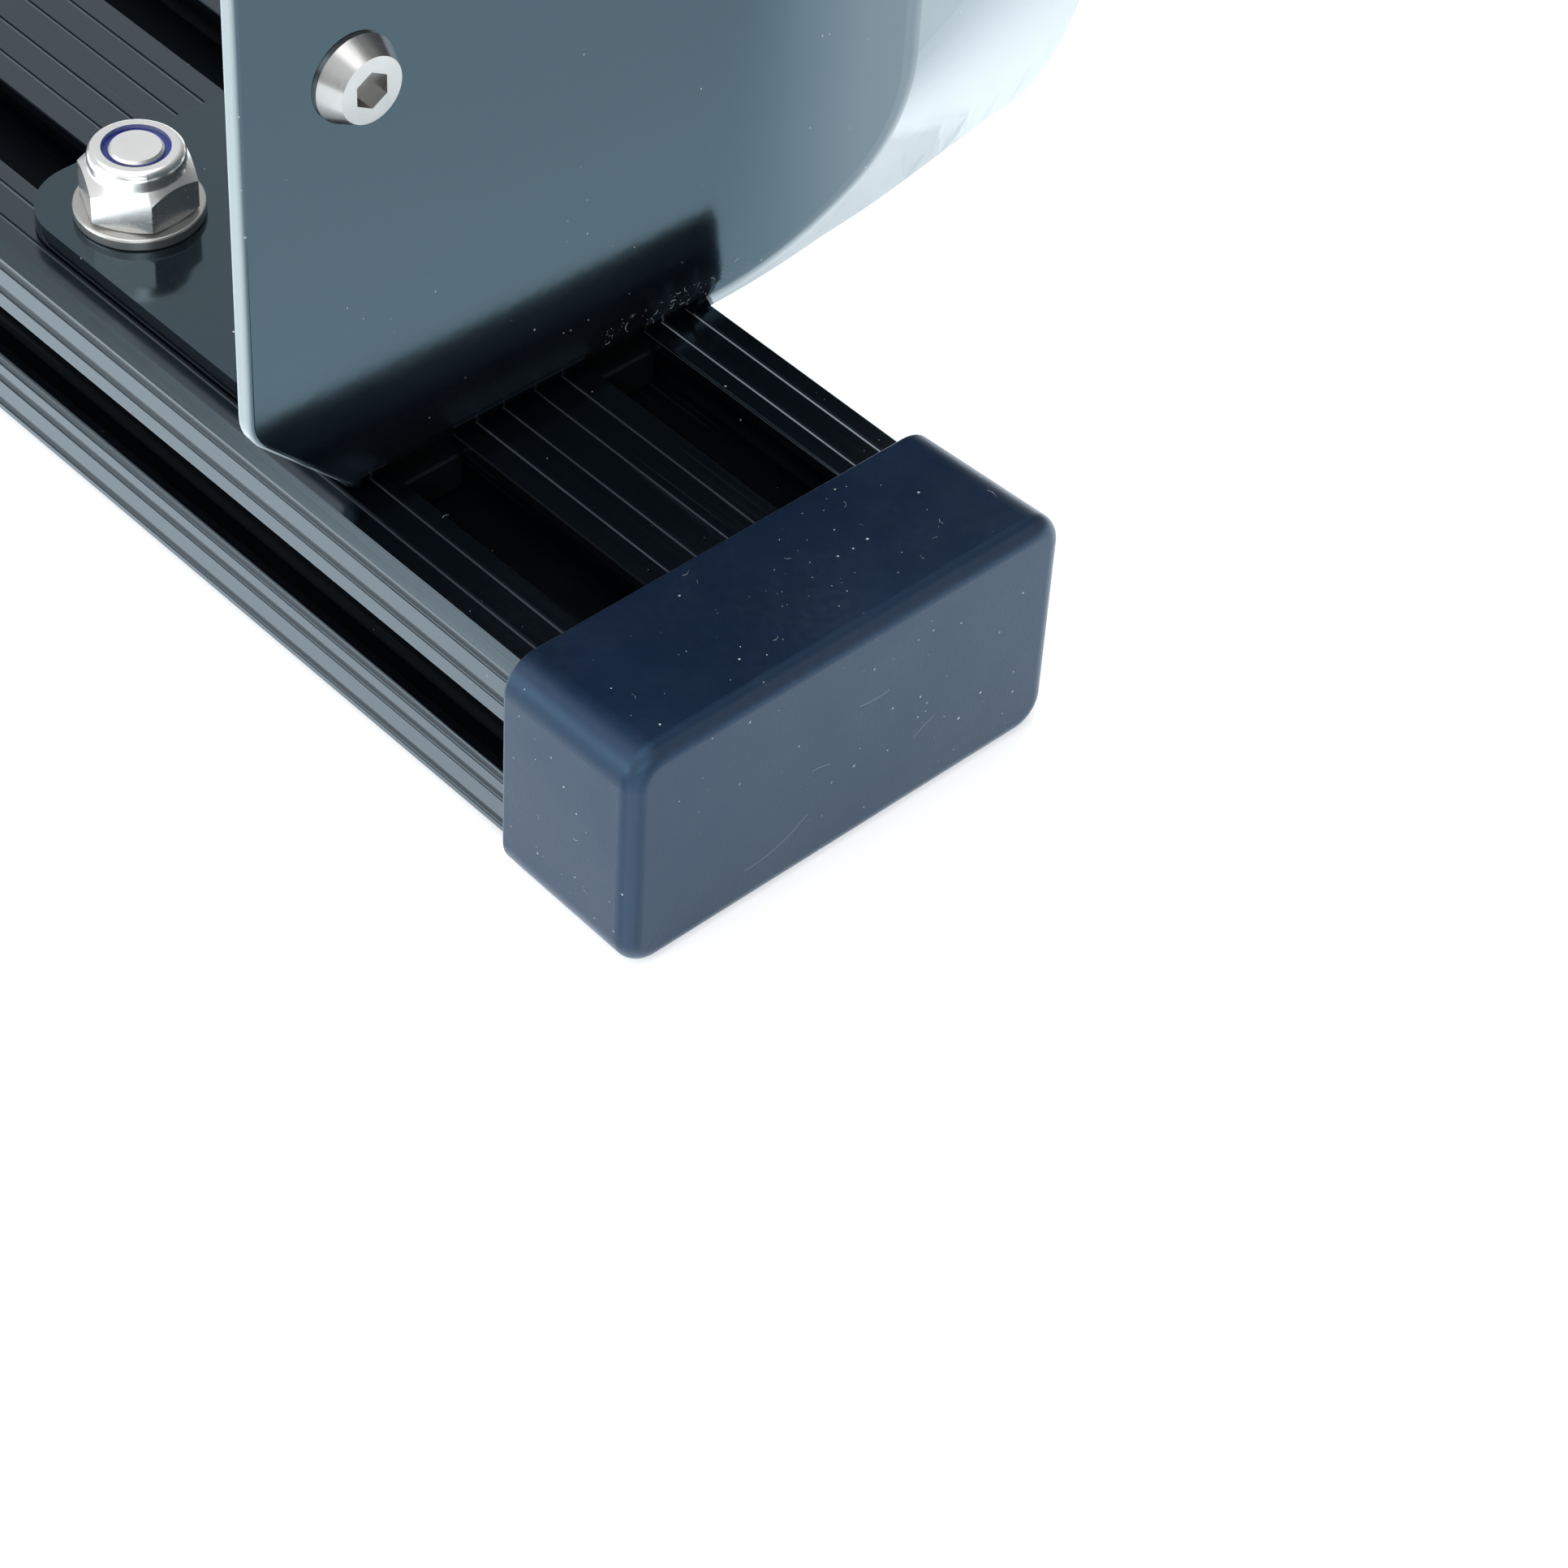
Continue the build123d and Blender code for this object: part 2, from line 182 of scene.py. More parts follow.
def buildGrain(look):
    # noise drawn out along the axes by Stretch: drawing lines, brushing, rubber grain
    tree, given, result = newGroup("surfaceGrain",
        {"Stretch": (1, 1, 1), "Scale": 400.0, "Detail": 3.0, "Contrast": 1.0},
        {"Height": "Float", "Tone": "Float"})
    place = stretched(tree, objectPlace(tree), given["Stretch"])
    noise = noiseOf(tree, place, given["Scale"], given["Detail"], look["roughness"])
    centred = maths(tree, "SUBTRACT", noise, look["midTone"])
    tone = maths(tree, "ADD", times(tree, centred, given["Contrast"]), look["midTone"], clamp=True)
    tree.links.new(noise, result["Height"])
    tree.links.new(tone, result["Tone"])
    return tree


dustLook = {
    "lookingUp": (-0.1, 0.9), "cloud": (45.0, 5.0, 0.65), "filmAndSlotShade": (0.42, 0.75),
    # specks are dots in cells: how much rarer the large ones are, and their radii in cells
    "speckSkew": 3.0, "speckRadius": (0.035, 0.17), "heaped": (0.40, 0.62, 0.25, 1.6),
    "dark": (0.16, 0.17, 0.18, 1), "pale": (0.60, 0.62, 0.62, 1),
}

def buildDust(look):
    # settled dust: a thin film and fine specks, mostly on what faces up
    tree, given, result = newGroup("settledDust",
        {"Film": 0.1, "Specks": 0.1, "Speck Scale": 900.0, "Upward": 0.7},
        {"Mask": "Float", "Colour": "Color"})
    place = objectPlace(tree)
    up = remap(tree, split(tree, surfaceNormal(tree))["Z"], *look["lookingUp"])
    anywhere = maths(tree, "SUBTRACT", 1.0, given["Upward"])
    level = maths(tree, "ADD", times(tree, up, given["Upward"]), anywhere, clamp=True)
    cloud = noiseOf(tree, place, *look["cloud"])
    filmAndSlotShade = times(tree, remap(tree, cloud, *look["filmAndSlotShade"]), given["Film"])
    cells = feed(tree, add(tree, "ShaderNodeTexVoronoi"), Vector=place, Scale=given["Speck Scale"]).outputs
    chosen = feed(tree, add(tree, "ShaderNodeSeparateColor"), Color=cells["Color"]).outputs
    skewed = maths(tree, "POWER", chosen[1], look["speckSkew"])
    near = maths(tree, "LESS_THAN", cells["Distance"], remap(tree, skewed, 0.0, 1.0, *look["speckRadius"]))
    share = times(tree, given["Specks"], remap(tree, cloud, *look["heaped"]))
    specks = times(tree, near, maths(tree, "LESS_THAN", chosen[0], share))
    both = maths(tree, "MAXIMUM", filmAndSlotShade, specks)
    tree.links.new(maths(tree, "MULTIPLY", both, level, clamp=True), result["Mask"])
    tree.links.new(mixColor(tree, chosen[2], look["dark"], look["pale"]), result["Colour"])
    return tree


handlingLook = {
    "patches": (28.0, 4.0, 0.55), "rubbed": (0.4, 0.7),
    "lines": (700.0, 1.0, 0.4), "thin": (0.70, 0.74),
}

def buildHandling(look):
    # rubbed and scuffed places: soft patches and a few long fine scratches
    tree, given, result = newGroup("handlingMarks",
        {"Patches": 0.3, "Scratches": 0.3, "Run": (1, 1, 1)},
        {"Rub": "Float", "Scratch": "Float"})
    place = objectPlace(tree)
    rub = remap(tree, noiseOf(tree, place, *look["patches"]), *look["rubbed"])
    lines = noiseOf(tree, stretched(tree, place, given["Run"]), *look["lines"])
    tree.links.new(times(tree, rub, given["Patches"]), result["Rub"])
    tree.links.new(times(tree, remap(tree, lines, *look["thin"]), given["Scratches"]), result["Scratch"])
    return tree


dishLook = {"margin": (0.85, 0.93)}

def buildDish(look):
    # shades the upright's face as a shallow dish: its flat part looks up by Lean (a slope)
    tree, given, result = newGroup("pressedDish",
        {"Lean": 0.3, "Turn": 0.25, "Hollow": 3.0, "Settle": 0.985, "Flare Across": 0.2, "Flare Down": 0.4,
         "Open From": 0.03, "Open To": 0.05, "Open By": 1.0, "Seen": 1.0},
        {"Normal": "Vector"})
    normal = surfaceNormal(tree)
    facing = split(tree, normal)
    along = absolute(tree, facing["X"])
    flat = remap(tree, along, given["Settle"], 1.0, kind="SMOOTHSTEP")
    # the folded margin, between the flat and the cut edges, turns away by the two flares
    inner = maths(tree, "SUBTRACT", 1.0, flat)
    margin = times(tree, inner, remap(tree, along, *look["margin"]))
    across = times(tree, margin, given["Flare Across"])
    down = times(tree, margin, given["Flare Down"])
    # only what is seen directly, so that the bar's own reflections keep the plain sheet
    seen = times(tree, flat, given["Seen"])
    lean = times(tree, seen, given["Lean"])
    # it is hollow from side to side, so Turn grows across it by Hollow for each metre
    place = split(tree, objectPlace(tree))
    sideways = times(tree, place["Y"], given["Hollow"])
    turn = maths(tree, "ADD", sideways, times(tree, given["Turn"], facing["X"]))
    # towards the fold, from Open From to Open To, it is undone Open By times over
    reach = times(tree, place["Y"], facing["X"])
    opened = remap(tree, reach, given["Open From"], given["Open To"], kind="SMOOTHSTEP")
    undone = maths(tree, "SUBTRACT", 1.0, times(tree, opened, given["Open By"]))
    turn = times(tree, seen, times(tree, turn, undone))
    swing = maths(tree, "SUBTRACT", times(tree, facing["Y"], across), turn)
    rise = maths(tree, "ADD", lean, times(tree, facing["Z"], down))
    bend = feed(tree, add(tree, "ShaderNodeCombineXYZ"), Y=swing, Z=rise).outputs[0]
    total = vectorMaths(tree, "ADD", normal, bend)["Vector"]
    tree.links.new(vectorMaths(tree, "NORMALIZE", total)["Vector"], result["Normal"])
    return tree


grain = buildGrain(grainLook)
dust = buildDust(dustLook)
handling = buildHandling(handlingLook)
dish = buildDish(dishLook)


# materials; a bump is its strength and its height in metres

extrusionLook = {
    "dark": (0.0004, 0.0007, 0.0014, 1), "light": (0.0014, 0.0024, 0.004, 1),
    "tint": (0.66, 0.86, 1.0, 1), "index": 1.85, "roughness": 0.17, "roughSpread": (0.05, 0.07),
    "drawn": {"Stretch": (2.0, 300.0, 300.0), "Scale": 14.0, "Detail": 3.0, "Contrast": 1.4},
    "marks": {"Patches": 0.4, "Scratches": 0.15, "Run": (0.04, 2.6, 2.6)},
    "scratch": (0.05, 0.06, 0.07, 1), "rubRough": 0.08, "bump": (0.12, 0.00003),
    "dust": {"Film": 0.004, "Specks": 0.03, "Speck Scale": 1100.0, "Upward": 0.6},
    # places of the drawn lines: across the top from the middle, and up the sides from the table
    "topLines": (0.0024, 0.0065, 0.0101, 0.0193, 0.0221, 0.0260), "topLineHalf": 0.00022,
    "topLineCore": 0.4, "topSkin": 0.0004, "paintedGlint": (0.40, 0.46, 0.52, 1),
    "sideLines": (0.00395, 0.00785, 0.0107, 0.0227, 0.0266), "sideLineHalf": 0.00075,
    "sideLineCore": 0.3, "sideFacing": 0.3,
    # the painted highlights on the lines grow brighter from the middle to the rear: places across, then the
    # two shares
    "rearward": (0.008, 0.021, 0.32, 1.8),
    # how much it mirrors, on the plain surface and in the side grooves, and the share left in the slots
    "mirrors": (0.5, 0.12), "sunkMirrors": 0.08, "sunkRough": 0.3, "slotSkin": 0.0016, "soleSkin": 0.0003,
}

def anodisedBar(look):
    # black anodised extrusion: drawing lines run along it, the oxide is satin
    material, tree, shader = newMaterial("anodisedBar")
    drawn = useGroup(tree, grain, look["drawn"])
    marks = useGroup(tree, handling, look["marks"])
    settled = useGroup(tree, dust, look["dust"])
    base = mixColor(tree, drawn["Tone"], look["dark"], look["light"])
    base = mixColor(tree, marks["Scratch"], base, look["scratch"])
    base = mixColor(tree, settled["Mask"], base, settled["Colour"])
    rough = variedRoughness(tree, drawn["Tone"], look)
    rough = maths(tree, "ADD", rough, times(tree, marks["Rub"], look["rubRough"]))
    place = split(tree, objectPlace(tree))
    facing = split(tree, surfaceNormal(tree))
    # painted highlights: lines on the top are painted as catching the light, broken up along their length
    across = nearestOf(tree, absolute(tree, place["Y"]), look["topLines"])
    onTop = maths(tree, "GREATER_THAN", place["Z"], barHigh.z - look["topSkin"])
    paintedGlint = remap(tree, across, look["topLineHalf"], look["topLineHalf"] * look["topLineCore"])
    paintedGlint = times(tree, paintedGlint, onTop, drawn["Tone"])
    rearward = remap(tree, place["Y"], *look["rearward"])
    base = mixColor(tree, maths(tree, "MULTIPLY", paintedGlint, rearward, clamp=True), base, look["paintedGlint"])
    # grooves up the sides stay dark between the bright beads
    up = nearestOf(tree, place["Z"], look["sideLines"])
    onSide = maths(tree, "GREATER_THAN", absolute(tree, facing["Y"]), look["sideFacing"])
    groove = remap(tree, up, look["sideLineHalf"], look["sideLineHalf"] * look["sideLineCore"])
    level = remap(tree, times(tree, groove, onSide), 0.0, 1.0, *look["mirrors"])
    # down inside the slots the oxide is dull and hardly mirrors
    inward = maths(tree, "LESS_THAN", absolute(tree, place["Y"]), barHigh.y - look["slotSkin"])
    below = maths(tree, "LESS_THAN", place["Z"], barHigh.z - look["slotSkin"])
    clear = maths(tree, "GREATER_THAN", place["Z"], barLow.z + look["soleSkin"])
    sunk = times(tree, inward, below, clear)
    level = times(tree, level, remap(tree, sunk, 0.0, 1.0, 1.0, look["sunkMirrors"]))
    rough = maths(tree, "ADD", rough, times(tree, sunk, look["sunkRough"]))
    feed(tree, shader, Base_Color=base, Roughness=rough, IOR=look["index"], Specular_Tint=look["tint"],
         Specular_IOR_Level=level)
    bump(tree, shader, drawn["Height"], *look["bump"])
    return material


capLook = {
    "deep": (0.0035, 0.0085, 0.023, 1), "bloom": (0.0065, 0.0125, 0.034, 1),
    "tint": (0.25, 0.60, 1.0, 1), "index": 1.50, "roughness": 0.36, "roughSpread": (0.06, 0.08),
    # its rounded edges, by the largest part of the normal, carry a painted sheen with some wear
    "edge": (0.99, 0.80), "rubbed": (0.024, 0.036, 0.062, 1),
    "fine": {"Scale": 2600.0, "Detail": 2.0, "Contrast": 1.6}, "fineShare": 0.4,
    "broad": {"Scale": 60.0, "Detail": 4.0, "Contrast": 2.0}, "bump": (0.35, 0.00012),
    "dust": {"Film": 0.015, "Specks": 0.22, "Speck Scale": 900.0, "Upward": 0.3},
    # hairs on the end face: centre across and up, radius, and the turns it starts and ends at
    "hairs": ((-0.0145, 0.0195, 0.0140, 4.66, 5.38), (0.0040, 0.0330, 0.0125, 4.50, 4.86),
              (-0.0060, 0.0060, 0.0090, 1.20, 1.52), (0.0170, 0.0020, 0.0105, 1.9, 2.25)),
    "hairHalf": 0.00005, "hairShare": 0.3, "hairColour": (0.42, 0.45, 0.48, 1), "endSkin": 0.0004,
}

def hairMask(tree, place, hair, half):
    # a thin arc; its turn runs from 0 to a full turn
    across, up, radius, start, end = hair
    y = maths(tree, "SUBTRACT", place["Y"], across)
    z = maths(tree, "SUBTRACT", place["Z"], up)
    away = maths(tree, "SQRT", maths(tree, "ADD", times(tree, y, y), times(tree, z, z)))
    line = maths(tree, "LESS_THAN", nearestOf(tree, away, [radius]), half)
    heading = maths(tree, "ARCTAN2", times(tree, z, -1.0), times(tree, y, -1.0))
    turn = maths(tree, "ADD", heading, math.pi)
    started = maths(tree, "GREATER_THAN", turn, start)
    return times(tree, line, times(tree, started, maths(tree, "LESS_THAN", turn, end)))


def mouldedRubber(look):
    # satin rubber, navy black, with a faint bloom, a fine moulded grain and edges paler by a painted sheen
    # with some wear
    material, tree, shader = newMaterial("mouldedRubber")
    facing = split(tree, surfaceNormal(tree))
    most = 0.0
    for axis in "XYZ":
        most = maths(tree, "MAXIMUM", absolute(tree, facing[axis]), most)
    edge = remap(tree, most, *look["edge"], kind="SMOOTHSTEP")
    fine = useGroup(tree, grain, look["fine"])
    broad = useGroup(tree, grain, look["broad"])
    settled = useGroup(tree, dust, look["dust"])
    base = mixColor(tree, broad["Tone"], look["deep"], look["bloom"])
    # the rounded edges get a painted sheen, with some wear
    base = mixColor(tree, edge, base, look["rubbed"])
    base = mixColor(tree, settled["Mask"], base, settled["Colour"])
    place = split(tree, objectPlace(tree))
    atEnd = maths(tree, "GREATER_THAN", absolute(tree, place["X"]), capHigh.x - look["endSkin"])
    for hair in look["hairs"]:
        shown = times(tree, hairMask(tree, place, hair, look["hairHalf"]), atEnd, look["hairShare"])
        base = mixColor(tree, shown, base, look["hairColour"])
    feed(tree, shader, Base_Color=base, Roughness=variedRoughness(tree, broad["Tone"], look),
         IOR=look["index"], Specular_Tint=look["tint"])
    both = maths(tree, "ADD", times(tree, fine["Height"], look["fineShare"]), broad["Height"])
    bump(tree, shader, both, *look["bump"])
    return material


coatLook = {
    "black": (0.002, 0.003, 0.004, 1), "haze": (0.003, 0.004, 0.006, 1),
    "tint": (0.55, 0.84, 1.0, 1), "index": 1.9, "roughness": 0.085, "roughSpread": (0.0, 0.05),
    "peel": {"Scale": 420.0, "Detail": 1.0, "Contrast": 1.4}, "bump": (0.10, 0.00005),
    "broad": {"Scale": 32.0, "Detail": 4.0, "Contrast": 2.0},
    "dust": {"Film": 0.004, "Specks": 0.05, "Speck Scale": 900.0, "Upward": 0.2},
    "pressed": {"Lean": 0.24, "Turn": 0.25, "Hollow": 3.0, "Settle": 0.985, "Flare Across": 0.12,
                "Flare Down": 0.72, "Open From": 0.024, "Open To": 0.052, "Open By": 1.7},
    # a painted highlight on the cut edges: from this height up, and by how far they turn from the face
    "rim": (0.36, 0.40, 0.40, 1), "rimFrom": 0.0335, "rimTurned": (0.42, 0.9), "rimShare": 0.8,
}

def powderCoat(look):
    # gloss black powder coat with a slight orange peel
    material, tree, shader = newMaterial("powderCoat")
    peel = useGroup(tree, grain, look["peel"])
    broad = useGroup(tree, grain, look["broad"])
    settled = useGroup(tree, dust, look["dust"])
    base = mixColor(tree, broad["Tone"], look["black"], look["haze"])
    base = mixColor(tree, settled["Mask"], base, settled["Colour"])
    # a painted highlight, pale, along the cut edges of the upright
    turned = remap(tree, absolute(tree, split(tree, surfaceNormal(tree))["Y"]), *look["rimTurned"])
    above = maths(tree, "GREATER_THAN", split(tree, objectPlace(tree))["Z"], look["rimFrom"])
    base = mixColor(tree, times(tree, turned, above, look["rimShare"]), base, look["rim"])
    feed(tree, shader, Base_Color=base, Roughness=variedRoughness(tree, broad["Tone"], look),
         IOR=look["index"], Specular_Tint=look["tint"])
    seen = add(tree, "ShaderNodeLightPath").outputs["Is Camera Ray"]
    pressed = useGroup(tree, dish, dict(look["pressed"], Seen=seen))
    bump(tree, shader, peel["Height"], *look["bump"], normal=pressed["Normal"])
    return material


steelLook = {
    "bright": (0.90, 0.89, 0.87, 1), "dull": (0.78, 0.77, 0.75, 1), "metallic": 0.92,
    "roughness": 0.22, "roughSpread": (0.03, 0.05), "rubRough": 0.10, "bump": (0.03, 0.00002),
    "lines": {"Scale": 700.0, "Detail": 3.0, "Contrast": 1.8},
    "broad": {"Scale": 120.0, "Detail": 2.0, "Contrast": 1.2},
    "marks": {"Patches": 0.6, "Scratches": 0.08, "Run": (0.5, 1.6, 1.2)}, "scratch": (0.42, 0.41, 0.39, 1),
    # painted shade: a dark, dull coat on what stands in the slots, whole at this depth
    "filmAndSlotShade": (0.016, 0.019, 0.023, 1), "slotShadeDepth": 0.001, "slotRough": 0.25,
}
washerLook = dict(steelLook, roughness=0.30, bright=(0.50, 0.495, 0.475, 1), dull=(0.42, 0.415, 0.40, 1))
boltLook = dict(steelLook, roughness=0.30)
screwLook = dict(steelLook, bright=(0.50, 0.49, 0.48, 1), dull=(0.38, 0.38, 0.37, 1))

def stainless(name, look, stretch):
    # turned or pressed stainless: fine tool lines, a warm cast and small stains
    material, tree, shader = newMaterial(name)
    lines = useGroup(tree, grain, dict(look["lines"], Stretch=stretch))
    broad = useGroup(tree, grain, look["broad"])
    marks = useGroup(tree, handling, look["marks"])
    base = mixColor(tree, broad["Tone"], look["dull"], look["bright"])
    base = mixColor(tree, marks["Scratch"], base, look["scratch"])
    rough = variedRoughness(tree, lines["Tone"], look)
    rough = maths(tree, "ADD", rough, times(tree, marks["Rub"], look["rubRough"]))
    # down in the slots the steel is painted dark and dull, as painted shade
    height = split(tree, objectPlace(tree))["Z"]
    sunk = remap(tree, height, barHigh.z, barHigh.z - look["slotShadeDepth"])
    base = mixColor(tree, sunk, base, look["filmAndSlotShade"])
    rough = maths(tree, "ADD", rough, times(tree, sunk, look["slotRough"]))
    feed(tree, shader, Base_Color=base, Metallic=look["metallic"], Roughness=rough)
    bump(tree, shader, lines["Height"], *look["bump"])
    return material


nylonLook = {
    "blue": (0.004, 0.016, 0.17, 1), "pale": (0.010, 0.030, 0.25, 1), "index": 1.53,
    "roughness": 0.34, "roughSpread": (0.0, 0.15), "bump": (0.2, 0.00004),
    "cloud": {"Scale": 500.0, "Detail": 3.0, "Contrast": 2.0},
}

def nylonRing(look):
    # the blue ring of a lock nut, faintly clouded
    material, tree, shader = newMaterial("nylonRing")
    cloud = useGroup(tree, grain, look["cloud"])
    feed(tree, shader, Base_Color=mixColor(tree, cloud["Tone"], look["blue"], look["pale"]),
         Roughness=variedRoughness(tree, cloud["Tone"], look), IOR=look["index"])
    bump(tree, shader, cloud["Height"], *look["bump"])
    return material


# the last value of each steel is how its tool lines are stretched
looks = {
    "bar": anodisedBar(extrusionLook),
    "cap": mouldedRubber(capLook),
    "bracket": powderCoat(coatLook),
    "nut": stainless("pressedStainless", steelLook, (1, 1, 3)),
    "washer": stainless("stampedWasher", washerLook, (1, 2, 1)),
    "bolt": stainless("turnedBolt", boltLook, (1, 1, 5)),
    "screw": stainless("socketScrew", screwLook, (5, 1, 1)),
    "nylon": nylonRing(nylonLook),
}
print("materials built:", len(looks))


# each node gets its finish by how its name starts; a nut's insert comes before the nut
finishes = [
    ("crossbar", "bar"), ("end_cap", "cap"), ("foot_bracket", "bracket"),
    ("lock_nut_insert", "nylon"), ("leg_nut_insert", "nylon"), ("lock_nut", "nut"), ("leg_nut", "nut"),
    ("foot_washer", "washer"), ("leg_washer", "washer"), ("slot_bolt", "bolt"), ("leg_screw", "screw"),
]
for name, node in nodes.items():
    finish = next(look for start, look in finishes if name.startswith(start))
    for part in node.material_slots:
        part.material = looks[finish]
print("nodes finished:", len(nodes))


# loose lint and dust grains, lying on the surfaces

lintLook = {
    "pale": (0.62, 0.64, 0.66, 1), "grey": (0.22, 0.24, 0.27, 1),
    "roughness": 0.75, "roughSpread": (0.0, 0.20),
    "cloud": {"Scale": 900.0, "Detail": 1.0, "Contrast": 3.0},
}

def lintMaterial(look):
    material, tree, shader = newMaterial("looseLint")
    cloud = useGroup(tree, grain, look["cloud"])
    feed(tree, shader, Base_Color=mixColor(tree, cloud["Tone"], look["grey"], look["pale"]),
         Roughness=variedRoughness(tree, cloud["Tone"], look))
    return material


scatterLook = {
    "grainLevel": 1, "fibreSteps": 6, "fibreSides": 4,
    "bendAlong": 0.55, "bendAside": 0.45,            # the fibre's middle, in its own lengths
    "spin": (0.0, 6.283), "spinSeed": 7, "sizes": (0.4, 1.5), "sizeSeed": 3,
}

def randomNumber(tree, low, high, seed):
    node = feed(tree, add(tree, "FunctionNodeRandomValue", data_type="FLOAT"), Seed=seed)
    plug(tree, low, node.inputs[2])    # this node's ends for a number
    plug(tree, high, node.inputs[3])
    return node.outputs[1]


def buildScatter(look, material):
    # points on a patch, each with a fine grain or a short bent fibre, joined and given one material
    tree = bpy.data.node_groups.new("lintScatter", "GeometryNodeTree")
    tree.interface.new_socket("Geometry", in_out="INPUT", socket_type="NodeSocketGeometry")
    for label, kind, value in (("Density", "Float", 20000.0), ("Seed", "Int", 1),
                               ("Grain Radius", "Float", 0.00006), ("Fibre Length", "Float", 0.0014),
                               ("Fibre Radius", "Float", 0.00002), ("Fibre Share", "Float", 0.2)):
        socket = tree.interface.new_socket(label, in_out="INPUT", socket_type="NodeSocket" + kind)
        socket.default_value = value
    tree.interface.new_socket("Geometry", in_out="OUTPUT", socket_type="NodeSocketGeometry")
    given = tree.nodes.new("NodeGroupInput").outputs
    points = add(tree, "GeometryNodeDistributePointsOnFaces", distribute_method="RANDOM")
    feed(tree, points, Mesh=given["Geometry"], Density=given["Density"], Seed=given["Seed"])

    grainBall = add(tree, "GeometryNodeMeshIcoSphere")
    feed(tree, grainBall, Radius=given["Grain Radius"], Subdivisions=look["grainLevel"])

    along = times(tree, given["Fibre Length"], look["bendAlong"])
    aside = times(tree, given["Fibre Length"], look["bendAside"])
    middle = feed(tree, add(tree, "ShaderNodeCombineXYZ"), X=along, Y=aside)
    end = feed(tree, add(tree, "ShaderNodeCombineXYZ"), X=given["Fibre Length"])
    fibre = add(tree, "GeometryNodeCurveQuadraticBezier")
    feed(tree, fibre, Resolution=look["fibreSteps"], Start=(0, 0, 0), Middle=middle.outputs[0],
         End=end.outputs[0])
    section = add(tree, "GeometryNodeCurvePrimitiveCircle")
    feed(tree, section, Resolution=look["fibreSides"], Radius=given["Fibre Radius"])
    tube = add(tree, "GeometryNodeCurveToMesh")
    feed(tree, tube, Curve=fibre.outputs[0], Profile_Curve=section.outputs[0], Fill_Caps=True)

    chosen = add(tree, "FunctionNodeCompare", data_type="FLOAT", operation="LESS_THAN")
    plug(tree, randomNumber(tree, 0.0, 1.0, given["Seed"]), chosen.inputs[0])
    plug(tree, given["Fibre Share"], chosen.inputs[1])
    others = add(tree, "FunctionNodeBooleanMath", operation="NOT")
    plug(tree, chosen.outputs[0], others.inputs[0])

    turn = add(tree, "FunctionNodeAxisAngleToRotation")
    feed(tree, turn, Axis=(0, 0, 1), Angle=randomNumber(tree, *look["spin"], look["spinSeed"]))
    around = add(tree, "FunctionNodeRotateRotation", rotation_space="LOCAL")
    plug(tree, points.outputs["Rotation"], around.inputs[0])
    plug(tree, turn.outputs[0], around.inputs[1])
    scale = randomNumber(tree, *look["sizes"], look["sizeSeed"])

    joined = add(tree, "GeometryNodeJoinGeometry")
    for shape, wanted in ((tube, chosen), (grainBall, others)):
        laid = add(tree, "GeometryNodeInstanceOnPoints")
        feed(tree, laid, Points=points.outputs["Points"], Selection=wanted.outputs[0],
             Instance=shape.outputs[0], Rotation=around.outputs[0], Scale=scale)
        plug(tree, laid.outputs[0], joined.inputs[0])
    real = add(tree, "GeometryNodeRealizeInstances")
    plug(tree, joined.outputs[0], real.inputs[0])
    finish = add(tree, "GeometryNodeSetMaterial")
    feed(tree, finish, Geometry=real.outputs[0], Material=material)
    plug(tree, finish.outputs[0], tree.nodes.new("NodeGroupOutput").inputs[0])
    return tree


# each patch is a rectangle dropped onto its node along a direction; the left end is the right one
# turned by half a turn
lintPatches = [
    {"name": "lintOnCap", "node": "end_cap", "body": "bar", "corner": (0.5575, -0.0285, 0.05),
     "across": (0.0, 0.057, 0.0), "along": (0.018, 0.0, 0.0), "cast": (0, 0, -1),
     "Density": 60000.0, "Fibre Share": 0.30, "Grain Radius": 0.00006, "Fibre Length": 0.0013},
    {"name": "lintOnCapSide", "node": "end_cap", "body": "bar", "corner": (0.5575, -0.05, 0.004),
     "across": (0.0, 0.0, 0.024), "along": (0.018, 0.0, 0.0), "cast": (0, 1, 0),
     "Density": 40000.0, "Fibre Share": 0.25, "Grain Radius": 0.00005, "Fibre Length": 0.0011},
    {"name": "lintOnUpright", "node": "foot_bracket", "body": "foot", "corner": (0.60, -0.024, 0.0345),
     "across": (0.0, 0.058, 0.0), "along": (0.0, 0.0, 0.022), "cast": (-1, 0, 0),
     "Density": 25000.0, "Fibre Share": 0.08, "Grain Radius": 0.00006, "Fibre Length": 0.0007},
    {"name": "dustOnBend", "node": "foot_bracket", "body": "foot", "corner": (0.60, 0.010, 0.0330),
     "across": (0.0, 0.024, 0.0), "along": (0.0, 0.0, 0.0022), "cast": (-1, 0, 0),
     "Density": 1500000.0, "Fibre Share": 0.35, "Grain Radius": 0.00004, "Fibre Length": 0.0006},
    {"name": "lintOnFoot", "node": "foot_bracket", "body": "foot", "corner": (0.460, -0.023, 0.05),
     "across": (0.0, 0.046, 0.0), "along": (0.056, 0.0, 0.0), "cast": (0, 0, -1),
     "Density": 6000.0, "Fibre Share": 0.10, "Grain Radius": 0.00005, "Fibre Length": 0.0008},
    {"name": "lintOnBar", "node": "crossbar", "body": "bar", "corner": (0.526, -0.028, 0.05),
     "across": (0.0, 0.056, 0.0), "along": (0.029, 0.0, 0.0), "cast": (0, 0, -1),
     "Density": 14000.0, "Fibre Share": 0.10, "Grain Radius": 0.00005, "Fibre Length": 0.0009},
]

# cells each way, how squarely a face has to meet the cast, the largest step inside a cell
patchGrid = {"cells": 14, "squarely": 0.9, "step": 0.0008, "firstSeed": 11}

